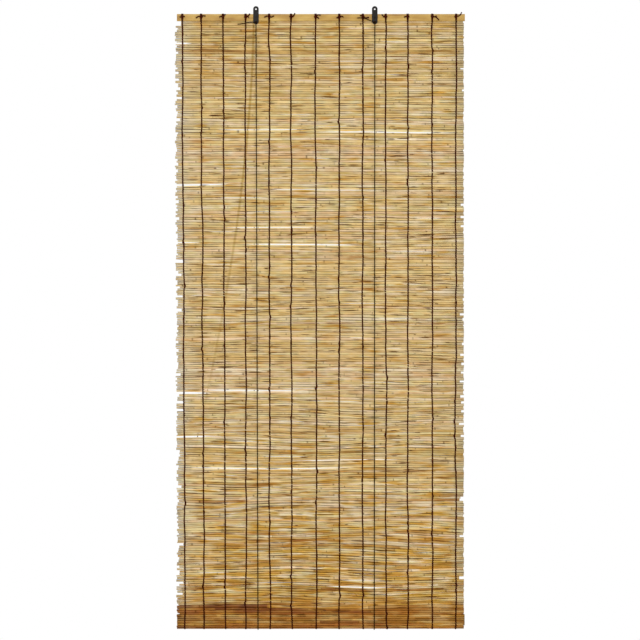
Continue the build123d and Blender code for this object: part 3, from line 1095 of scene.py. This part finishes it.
@dataclass
class BindingTwines:
    """The twines: two strands each, twined round every reed, wrapped over the batten and knotted there."""

    mat: ReedMat
    half_w: float = 0.0022
    half_t: float = 0.0009
    sides: int = 6
    steps_per_reed: int = 4
    sunk_share: float = 0.8
    hem_in: float = 0.0008
    slant: float = 0.0006
    drift: tuple[float, ...] = (
        0.0095, 0.0095, 0.008, 0.002, 0.003, 0.003, 0.003, 0.0, 0.0, 0.0015, 0.0, 0.0, -0.0015,
    )
    # Sideways wander, by shares and wave lengths, and none at the head.
    waver: float = 0.0018
    waves: tuple[Pair, ...] = ((1.0, 0.17), (0.6, 0.06), (0.3, 0.02))
    steady: float = 0.03
    # Thick places, their reach in reeds, and the kinks at them.
    nubs: int = 11
    nub_reach: float = 0.9
    nub_fat: float = 0.3
    kink: float = 0.0030
    # The wrap over the batten: its corners are square by this power, and its strands lie apart.
    wrap_steps: int = 25
    leg_steps: int = 4
    square: float = 0.35
    apart_share: float = 0.8
    wrap_share: float = 0.9
    # The knot on the batten and its tails, which curl, lie back a little and flare at their ends.
    knot_r: float = 0.0039
    knot_cord_r: float = 0.0020
    knot_height: float = 0.62
    tail_steps: int = 7
    curl: float = 0.16
    lie_back: float = 0.0008
    flare: float = 0.25
    # How far the ends of the strands, the wraps and the tails stand out from their last rings.
    tip: float = 0.0005
    wrap_tip: float = 0.0002
    tail_tip: float = 0.0004
    seed: int = 23

    def build(self) -> list[bpy.types.Object]:
        """Make one piece for each twine, in the place of its solid, from left to right."""
        rng = np.random.default_rng(self.seed)
        pieces = []
        for i, (tails, drift) in enumerate(zip(TWINE_TAILS, self.drift)):
            node = f"twine_{i + 1:02d}"
            low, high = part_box(node)
            x = (low.x + high.x) / 2
            parts = MeshParts()
            self.add_twined_pair(parts, x, drift, rng)
            self.add_wrap(parts, x - drift / 2)
            self.add_knot(parts, x - drift / 2, tails, rng)
            pieces.append(parts.make(node + "_binding"))
        return pieces

    def add_twined_pair(self, parts: MeshParts, x: float, drift: float, rng: np.random.Generator) -> None:
        """Add two strands that change sides between each reed and the next.

        A strand's distance from the mid-line is the square root of a cosine of half a turn for each reed,
        with its sign, so it lies flat over a reed and slips quickly through the furrow; a sine moves it
        sideways, which slants each stitch.

        Args:
            parts: The twine's gathered mesh.
            x: The twine's middle.
            drift: How far it wanders to the right from top to foot.
            rng: The source of the random values.
        """
        line = self.mat.line
        rows = self.mat.rows
        step = np.linspace(0, rows, rows * self.steps_per_reed + 1)
        marks = self.mat.marks + self.mat.sway(x, self.mat.marks)
        along = np.interp(step, np.arange(rows + 1), marks)
        phase = pi * (step - 0.5) + pi * np.arange(2)[:, None]
        swing = np.sign(np.cos(phase)) * np.sqrt(np.abs(np.cos(phase)))
        outer = self.mat.reed_d / 2 + self.sunk_share * self.half_t
        inner = outer - self.hem_in * ramp(along, line.open_len, line.open_len + self.mat.pitch)
        away = np.where(swing > 0, outer, inner) * swing
        point, outward, _ = line.at(along)
        paths = point + away[..., None] * outward
        wander = sum(share * self.waver * smooth_noise(along, wave, 1, rng) for share, wave in self.waves)
        wander *= ramp(along, 0, self.steady)
        share = ramp(along, 0, line.stretches[0])
        paths[..., 0] = x + drift * (share - 0.5) + wander + self.slant * np.sin(phase)
        nubs = np.exp(-((step - rng.uniform(0, rows, (self.nubs, 1))) / self.nub_reach) ** 2)
        paths[..., 0] += (self.kink * rng.uniform(-1, 1, (self.nubs, 1)) * nubs).sum(axis=0)
        fat = 1 + self.nub_fat * nubs.sum(axis=0)
        profile = oval(self.sides, self.half_w, self.half_t) * fat[:, None, None]
        parts.add_tubes(sweep(paths, profile, ACROSS), ends_of(paths, self.tip))

    def add_wrap(self, parts: MeshParts, x: float) -> None:
        """Add two strands from the mat's top over the batten, front to back.

        The path is the upper half of a squared oval round the batten's section, with straight legs below.

        Args:
            parts: The twine's gathered mesh.
            x: The twine's place at the batten.
        """
        low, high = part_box("head_batten")
        mid_y, mid_z = (low.y + high.y) / 2, (low.z + high.z) / 2
        reach_y, reach_z = (high.y - low.y) / 2 + self.half_t, (high.z - low.z) / 2 + self.half_t
        turn = np.linspace(pi, 0, self.wrap_steps)
        round_y = mid_y + reach_y * np.sign(np.cos(turn)) * np.abs(np.cos(turn)) ** self.square
        round_z = mid_z + reach_z * np.sin(turn) ** self.square
        foot = self.mat.line.mat_top - self.mat.pitch / 2
        legs = np.linspace(foot, mid_z, self.leg_steps, endpoint=False)
        z = np.concatenate([legs, round_z, legs[::-1]])
        y = np.pad(round_y, self.leg_steps, mode="edge")
        side = self.apart_share * self.half_w * np.array([[-1], [1]])
        paths = np.stack(np.broadcast_arrays(x + side * ramp(z, foot, mid_z), y, z), axis=-1)
        profile = oval(self.sides, self.wrap_share * self.half_w, self.half_t)
        parts.add_tubes(sweep(paths, profile, ACROSS), ends_of(paths, self.wrap_tip))

    def add_knot(
        self, parts: MeshParts, x: float, tails: tuple[Tail, Tail], rng: np.random.Generator,
    ) -> None:
        """Add the knot on the batten's front, and its two loose tails.

        Args:
            parts: The twine's gathered mesh.
            x: The twine's place at the batten.
            tails: The loose ends.
            rng: The source of the random values.
        """
        low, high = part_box("head_batten")
        y = low.y - 2 * self.half_t - self.knot_cord_r / 2
        heart = np.array([x, y, low.z + self.knot_height * (high.z - low.z)])
        path = trefoil(self.knot_r, heart, rng.uniform(0, 2 * pi))
        thick = oval(self.sides, self.knot_cord_r, self.knot_cord_r)
        parts.add_tubes(sweep(path, thick, DEPTH, closed=True), closed=True)
        step = np.linspace(0, 1, self.tail_steps)
        profile = thick * (1 + self.flare * step ** 6)[:, None, None]
        for tail in tails:
            angle = np.radians(tail.angle)
            curl = self.curl * tail.length * np.sin(pi * step) * rng.choice([-1, 1])
            way = np.array([np.cos(angle), 0, np.sin(angle)])
            across = np.array([-np.sin(angle), 0, np.cos(angle)])
            path = heart + tail.length * step[:, None] * way + curl[:, None] * across
            path[:, 1] += self.lie_back * step
            parts.add_tubes(sweep(path[None], profile, DEPTH), ends_of(path[None], self.tail_tip))

    def dress(self, pieces: Sequence[bpy.types.Object]) -> None:
        """Give all twines one finish, each in the place of its solid."""
        finish = FibreFinish("waxed_binding_twine", "#541C08", "#1E0702").material()
        for i, piece in enumerate(pieces):
            dress(piece, finish, Body.BLIND, Slot.TWINE, f"twine_{i + 1:02d}")


def trefoil(size: float, heart: Array, roll: float, steps: int = 36) -> Array:
    """A closed overhand knot in the XZ plane: sin t + 2 sin 2t, cos t - 2 cos 2t, and -sin 3t in depth.

    Args:
        size: Radius of the knot.
        heart: Its middle.
        roll: Its turn about Y.
        steps: How many stations it has.

    Returns:
        Stations of one closed path, shaped 1 by station by 3.
    """
    turn = np.linspace(0, 2 * pi, steps, endpoint=False)
    u = (np.sin(turn) + 2 * np.sin(2 * turn)) / 3
    v = (np.cos(turn) - 2 * np.cos(2 * turn)) / 3
    depth = -np.sin(3 * turn) / 3
    x = u * np.cos(roll) - v * np.sin(roll)
    z = u * np.sin(roll) + v * np.cos(roll)
    return (heart + size * np.stack([x, depth, z], axis=-1))[None]


@dataclass(frozen=True)
class CordRoute:
    """A cord's facts: its route, its real length, where it ends and how it lies."""

    name: str
    node: str
    points: tuple[Point, ...]
    length: float
    far_end: str
    lay: str


LEFT_ROUTE = CordRoute(
    "left_lift_cord_twisted", "left_lift_cord",
    (
        (-0.1930, -0.0049, -0.0466), (-0.1864, -0.0015, -2.0016), (-0.1864, -0.0015, -2.0172),
        (-0.1864, 0.0259, -2.0172), (-0.1864, 0.0258, -2.0016), (-0.1870, 0.0138, -0.0366),
        (-0.1870, 0.0137, -0.0210), (-0.1990, 0.0137, -0.0210), (-0.1990, 0.0137, -0.0366),
        (-0.1990, 0.0137, -1.2570),
    ),
    5.227, "knot", "taut",
)
RIGHT_ROUTE = CordRoute(
    "right_lift_cord_twisted", "right_lift_cord",
    (
        (0.1930, -0.0049, -0.0466), (0.1914, -0.0015, -2.0016), (0.1914, -0.0015, -2.0172),
        (0.1914, 0.0259, -2.0172), (0.1915, 0.0258, -2.0016), (0.1989, 0.0104, -0.0366),
        (0.1990, 0.0103, -0.0210), (0.1834, 0.0103, -0.0210), (-0.1834, 0.0103, -0.0210),
        (-0.1990, 0.0103, -0.0210), (-0.1997, 0.0103, -0.0366), (-0.2090, 0.0103, -0.2400),
        (-0.2290, 0.0103, -0.4900), (-0.2630, 0.0103, -0.7600), (-0.3090, 0.0103, -1.0300),
        (-0.3650, 0.0103, -1.3100), (-0.4278, 0.0116, -1.5900),
    ),
    5.965, "object", "taut",
)
LEFT_TAIL = CordRoute(
    "left_cord_tail", "left_cord_tie",
    (
        (-0.1945, -0.0056, -0.0432), (-0.2080, -0.0052, -0.0424), (-0.2230, -0.0046, -0.0438),
        (-0.2380, -0.0048, -0.0482), (-0.2530, -0.0049, -0.0493),
    ),
    0.059, "bare", "loose",
)
RIGHT_TAIL = CordRoute(
    "right_cord_tail", "right_cord_tie",
    (
        (0.1915, -0.0056, -0.0428), (0.1790, -0.0054, -0.0380), (0.1640, -0.0052, -0.0312),
        (0.1500, -0.0052, -0.0280), (0.1360, -0.0049, -0.0288),
    ),
    0.058, "bare", "loose",
)


@dataclass
class LiftCords:
    """The two lift cords, twisted from three strands, with their ties, loose tails and end knots."""

    diameter: float = 0.0026
    tail_d: float = 0.0026
    # The section's mean radius and its swing, as shares of the cord's radius.
    mean_share: float = 1.2
    lobe_share: float = 0.1
    tip: float = 0.0005
    lobes: int = 3
    sides: int = 9
    lay_len: float = 0.012
    station: float = 0.002
    twist_reference: Point = (1.0, 1.0, 0.3)
    # Knots, and the stubs of cord that lead in and out of them.
    tie_r: float = 0.0034
    tie_cord_r: float = 0.0011
    tie_roll: float = 0.5
    end_r: float = 0.0031
    end_cord_r: float = 0.0012
    end_roll: float = 0.2
    knot_sides: int = 8
    stub_r: float = 0.0012
    stub_len: float = 0.0034
    stub_tip: float = 0.0003
    bend: Point = (0, 0.002, 0.0006)
    through_y: float = 0.0004

    @staticmethod
    def spline(route: CordRoute) -> bpy.types.Curve:
        """Make the route's smooth line: one open NURBS spline with its points as control points, no bevel."""
        curve = bpy.data.curves.new(route.name, "CURVE")
        curve.dimensions = "3D"
        curve.resolution_u = 24
        line = curve.splines.new("NURBS")
        line.points.add(len(route.points) - 1)
        line.points.foreach_set("co", np.array([(*p, 1.0) for p in route.points]).ravel())
        line.order_u = 3
        line.use_endpoint_u = True
        return curve

    def line_points(self, route: CordRoute) -> Array:
        """Read points off the route's spline, shaped point by 3."""
        holder = bpy.data.objects.new(route.name + "_line", self.spline(route))
        mesh = bpy.data.meshes.new_from_object(holder)
        points = np.zeros(len(mesh.vertices) * 3)
        mesh.vertices.foreach_get("co", points)
        bpy.data.objects.remove(holder)
        bpy.data.meshes.remove(mesh)
        return points.reshape(-1, 3)

    def build_cord(self, route: CordRoute) -> tuple[bpy.types.Object, Array]:
        """Twist a three-lobed section along the route's spline.

        The section's radius is its mean plus a cosine that swings three times round; its angle grows by one
        turn for each length of lay.

        Args:
            route: The cord's facts.

        Returns:
            The cord and the points that it follows.
        """
        points = self.line_points(route)
        travel = np.concatenate([[0.0], np.cumsum(np.linalg.norm(np.diff(points, axis=0), axis=1))])
        places = np.linspace(0, travel[-1], int(travel[-1] / self.station))
        path = np.stack([np.interp(places, travel, points[:, i]) for i in range(3)], axis=-1)[None]
        turn = 2 * pi * np.arange(self.sides) / self.sides
        radius = self.diameter / 2 * (self.mean_share + self.lobe_share * np.cos(self.lobes * turn))
        angle = turn + 2 * pi * places[:, None] / self.lay_len
        profile = np.stack([radius * np.cos(angle), radius * np.sin(angle)], axis=-1)
        parts = MeshParts()
        parts.add_tubes(sweep(path, profile[None], self.twist_reference), ends_of(path, self.tip))
        return parts.make(route.name), points

    def build_knot(self, name: str, path: Array, cord_r: float, stubs: Sequence[Array]) -> bpy.types.Object:
        """Make a knot with the stubs of cord that lead in and out of it.

        Args:
            name: The piece's name.
            path: The knot's closed path.
            cord_r: Radius of the cord in the knot.
            stubs: The stations of each stub, shaped station by 3.

        Returns:
            The knot.
        """
        parts = MeshParts()
        parts.add_tubes(sweep(path, oval(self.knot_sides, cord_r, cord_r), DEPTH, closed=True), closed=True)
        profile = oval(self.knot_sides, self.stub_r, self.stub_r)
        for stub in stubs:
            parts.add_tubes(sweep(stub[None], profile, ACROSS), ends_of(stub[None], self.stub_tip))
        return parts.make(name)

    def build_tie(self, name: str, node: str, hole: Point) -> bpy.types.Object:
        """Make the knot in front of a plate and the turn of cord that goes through the plate's hole.

        Args:
            name: The piece's name.
            node: The solid whose place it takes.
            hole: The middle of the hole on the plate's front.

        Returns:
            The tie.
        """
        low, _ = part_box(node)
        heart = np.array([hole[0], low.y / 2 + hole[1] / 2, hole[2]])
        through = np.stack([heart, heart + self.bend, (hole[0], self.through_y, hole[2])])
        down = np.stack([heart, heart - self.stub_len * np.array(UP)])
        path = trefoil(self.tie_r, heart, self.tie_roll)
        return self.build_knot(name, path, self.tie_cord_r, (through, down))

    def build_end_knot(self, name: str, node: str) -> bpy.types.Object:
        """Make a knot called `name` that fills the place of the solid end knot `node`."""
        low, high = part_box(node)
        heart = np.array((low + high) / 2)
        stub = heart + self.stub_len * np.outer((1, -1), UP)
        return self.build_knot(name, trefoil(self.end_r, heart, self.end_roll), self.end_cord_r, (stub,))

    def build_tail(self, route: CordRoute) -> bpy.types.Object:
        """Make a loose tail as a round curve along its spline."""
        curve = self.spline(route)
        curve.bevel_depth = self.tail_d / 2
        curve.bevel_resolution = 2
        curve.use_fill_caps = True
        piece = bpy.data.objects.new(route.name, curve)
        bpy.context.scene.collection.objects.link(piece)
        return piece

    def make(self) -> None:
        """Build and dress both cords, their ties, tails and knots."""
        finish = FibreFinish("twisted_cotton_cord", "#2C1A04", "#0E0701", grit=0.0016).material()
        plate_low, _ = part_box("hanger_plates")
        knots = {
            LEFT_ROUTE: self.build_end_knot("draw_cord_stopper", "draw_cord_knot"),
            RIGHT_ROUTE: self.build_end_knot("draw_cord_edge_hitch", "draw_cord_hitch"),
        }
        dress(knots[LEFT_ROUTE], finish, Body.BLIND, Slot.CORD, "draw_cord_knot")
        dress(knots[RIGHT_ROUTE], finish, Body.BLIND, Slot.CORD, "draw_cord_hitch")
        for route, tail in ((LEFT_ROUTE, LEFT_TAIL), (RIGHT_ROUTE, RIGHT_TAIL)):
            cord, points = self.build_cord(route)
            dress(cord, finish, Body.BLIND, Slot.CORD, route.node)
            start = route.points[0]
            tie = self.build_tie(tail.node + "_knot", tail.node, (start[0], plate_low.y, tail.points[0][2]))
            dress(tie, finish, Body.BLIND, Slot.CORD, tail.node)
            loose = self.build_tail(tail)
            dress(loose, finish, Body.BLIND, Slot.CORD)


@dataclass
class HeadGear:
    """The batten, the hem lath, the hanger plates, their rivets and the pulleys."""

    batten: WoodFinish = WoodFinish("planed_softwood", "#C9A85A", "#B68E3E", "#976E26")
    lath: WoodFinish = WoodFinish("sawn_softwood", "#B5955A", "#94743C", "#6E5226")
    plate: HardFinish = HardFinish("charcoal_powder_coat", "#0D0907", "#17120E", 0.0009, 0.5, shine=0.16)
    rivet: HardFinish = HardFinish("blackened_steel", "#141312", "#262423", 0.0006, 0.42, 1.0)
    nylon: HardFinish = HardFinish("moulded_nylon", "#2A2724", "#3B3733", 0.0012, 0.45)
    ease: float = 0.0004

    def make(self) -> None:
        """Finish the CAD nodes that keep their own shape."""
        for finish, *nodes in (
            (self.batten, "head_batten"), (self.lath, "hem_lath"), (self.plate, "hanger_plates"),
            (self.rivet, "pulley_rivets"), (self.nylon, "left_pulley", "right_pulley"),
        ):
            material = finish.material()
            for node in nodes:
                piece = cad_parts[node]
                piece.data.materials.clear()
                piece.data.materials.append(material)
                self.ease_edges(piece)
                log.info("%s finished as %s", node, finish.name)

    def ease_edges(self, piece: bpy.types.Object) -> None:
        """Round the sharp edges of a CAD node a little, so that they catch the light."""
        weld = piece.modifiers.new("weld", "WELD")
        weld.merge_threshold = 1e-6
        flats = piece.modifiers.new("flats", "DECIMATE")
        flats.decimate_type = "DISSOLVE"
        flats.angle_limit = pi / 180
        ease = piece.modifiers.new("ease", "BEVEL")
        ease.width = self.ease
        ease.segments = 2
        ease.limit_method = "ANGLE"
        ease.angle_limit = pi / 4
        ease.harden_normals = True


@dataclass(frozen=True)
class Lamp:
    """A square softbox: where it hangs, its side and its power in watts."""

    name: str
    place: Point
    size: float
    power: float


@dataclass
class Studio:
    """Camera, floor, lamps and white surroundings."""

    view_w: float = 2.08
    distance: float = 8.0
    centre: Point = (0.0151, 0.0, -1.0101)
    sensor: float = 36.0
    clip_end: float = 100.0
    # The floor fades to white from a share of its radius to the whole of it.
    floor_colour: str = "#EDECE9"
    floor_roughness: float = 0.9
    floor_drop: float = 0.14
    floor_r: float = 0.8
    floor_sides: int = 64
    floor_rings: Point = (5.0, 1.0, 0.2)
    fade_from: float = 0.45
    ambient: float = 0.48
    lamps: tuple[Lamp, ...] = (
        Lamp("key_softbox", (-1.0, -4.2, 0.6), 2.6, 103.0),
        Lamp("fill_softbox", (2.8, -3.6, -0.8), 2.4, 28.0),
        Lamp("back_softbox", (1.5, 4.0, 0.8), 2.6, 80.0),
    )

    def make(self) -> None:
        """Build all of the stage."""
        bpy.context.scene.view_settings.view_transform = "Standard"
        self.make_camera()
        self.make_floor()
        self.make_world()
        for lamp in self.lamps:
            self.hang(lamp)

    def make_camera(self) -> None:
        """Stand the camera straight in front, at the distance that frames the view's width."""
        data = bpy.data.cameras.new("front_camera")
        data.sensor_width = self.sensor
        data.lens = self.sensor * self.distance / self.view_w
        data.clip_end = self.clip_end
        camera = bpy.data.objects.new("front_camera", data)
        camera.location = Vector(self.centre) + Vector((0, -self.distance, 0))
        camera.rotation_euler = (pi / 2, 0, 0)
        bpy.context.scene.collection.objects.link(camera)
        bpy.context.scene.camera = camera

    def make_floor(self) -> None:
        """Lay a pale floor below the blind that fades to the white surroundings."""
        turn = np.linspace(0, 2 * pi, self.floor_sides, endpoint=False)
        reach = np.array(self.floor_rings)[:, None] * self.floor_r
        rings = np.zeros((1, len(self.floor_rings), self.floor_sides, 3))
        rings[..., 0] = self.centre[0] + reach * np.cos(turn)
        rings[..., 1] = reach * np.sin(turn)
        rings[..., 2] = CAD_BOX[0].z - self.floor_drop
        parts = MeshParts()
        parts.add_tubes(rings)
        parts.add_faces((parts.count - self.floor_sides + np.arange(self.floor_sides))[None])
        floor = parts.make("studio_floor")
        material, tree, shader = new_material("pale_studio_floor")
        look = {"Base Color": linear(self.floor_colour), "Roughness": self.floor_roughness}
        set_inputs(tree, shader, look)
        place = add_node(tree, "TexCoord").outputs["Object"]
        flat = add_node(tree, "VectorMath", [place, (1.0, 1.0, 0.0)], operation="MULTIPLY")
        far = add_node(tree, "VectorMath", [flat], operation="LENGTH").outputs["Value"]
        fade = add_node(
            tree, "MapRange", [far, self.fade_from * self.floor_r, self.floor_r, 0.0, 1.0],
            interpolation_type="SMOOTHSTEP",
        )
        white = add_node(tree, "Emission", {"Color": WHITE, "Strength": 1.0})
        share = add_node(tree, "Math", [fade, self.seen_rays(tree)], operation="MULTIPLY")
        mix = add_node(tree, "MixShader", [share, shader, white])
        set_inputs(tree, tree.nodes["Material Output"], {"Surface": mix})
        floor.data.materials.append(material)

    @staticmethod
    def seen_rays(tree: bpy.types.NodeTree) -> bpy.types.Node:
        """One for rays that the camera, a gloss or a clear surface sends out, and nought for the rest."""
        path = add_node(tree, "LightPath")
        seen = path.outputs["Is Camera Ray"]
        for kind in ("Is Glossy Ray", "Is Transmission Ray"):
            seen = add_node(tree, "Math", [seen, path.outputs[kind]], operation="MAXIMUM")
        return seen

    def make_world(self) -> None:
        """Light the blind softly from all round, and show white behind it."""
        world = bpy.data.worlds.new("white_studio")
        world.use_nodes = True
        tree = world.node_tree
        soft = tree.nodes["Background"]
        set_inputs(tree, soft, {"Color": WHITE, "Strength": self.ambient})
        white = add_node(tree, "Background", {"Color": WHITE, "Strength": 1.0})
        mix = add_node(tree, "MixShader", [self.seen_rays(tree), soft, white])
        set_inputs(tree, tree.nodes["World Output"], {"Surface": mix})
        bpy.context.scene.world = world

    def hang(self, lamp: Lamp) -> None:
        """Hang a lamp so that it faces the blind's middle."""
        data = bpy.data.lights.new(lamp.name, "AREA")
        data.size = lamp.size
        data.energy = lamp.power
        light = bpy.data.objects.new(lamp.name, data)
        light.location = lamp.place
        light.rotation_mode = "QUATERNION"
        light.rotation_quaternion = (Vector(self.centre) - Vector(lamp.place)).to_track_quat("-Z", "Y")
        bpy.context.scene.collection.objects.link(light)


def main() -> None:
    """Build the blind's looks in order."""
    logging.basicConfig(level=logging.INFO, format="%(message)s")
    Studio().make()
    LiftCords().make()
    mat = ReedMat()
    mat.dress(mat.build())
    twines = BindingTwines(mat)
    twines.dress(twines.build())
    HeadGear().make()


if __name__ == "__main__":
    main()
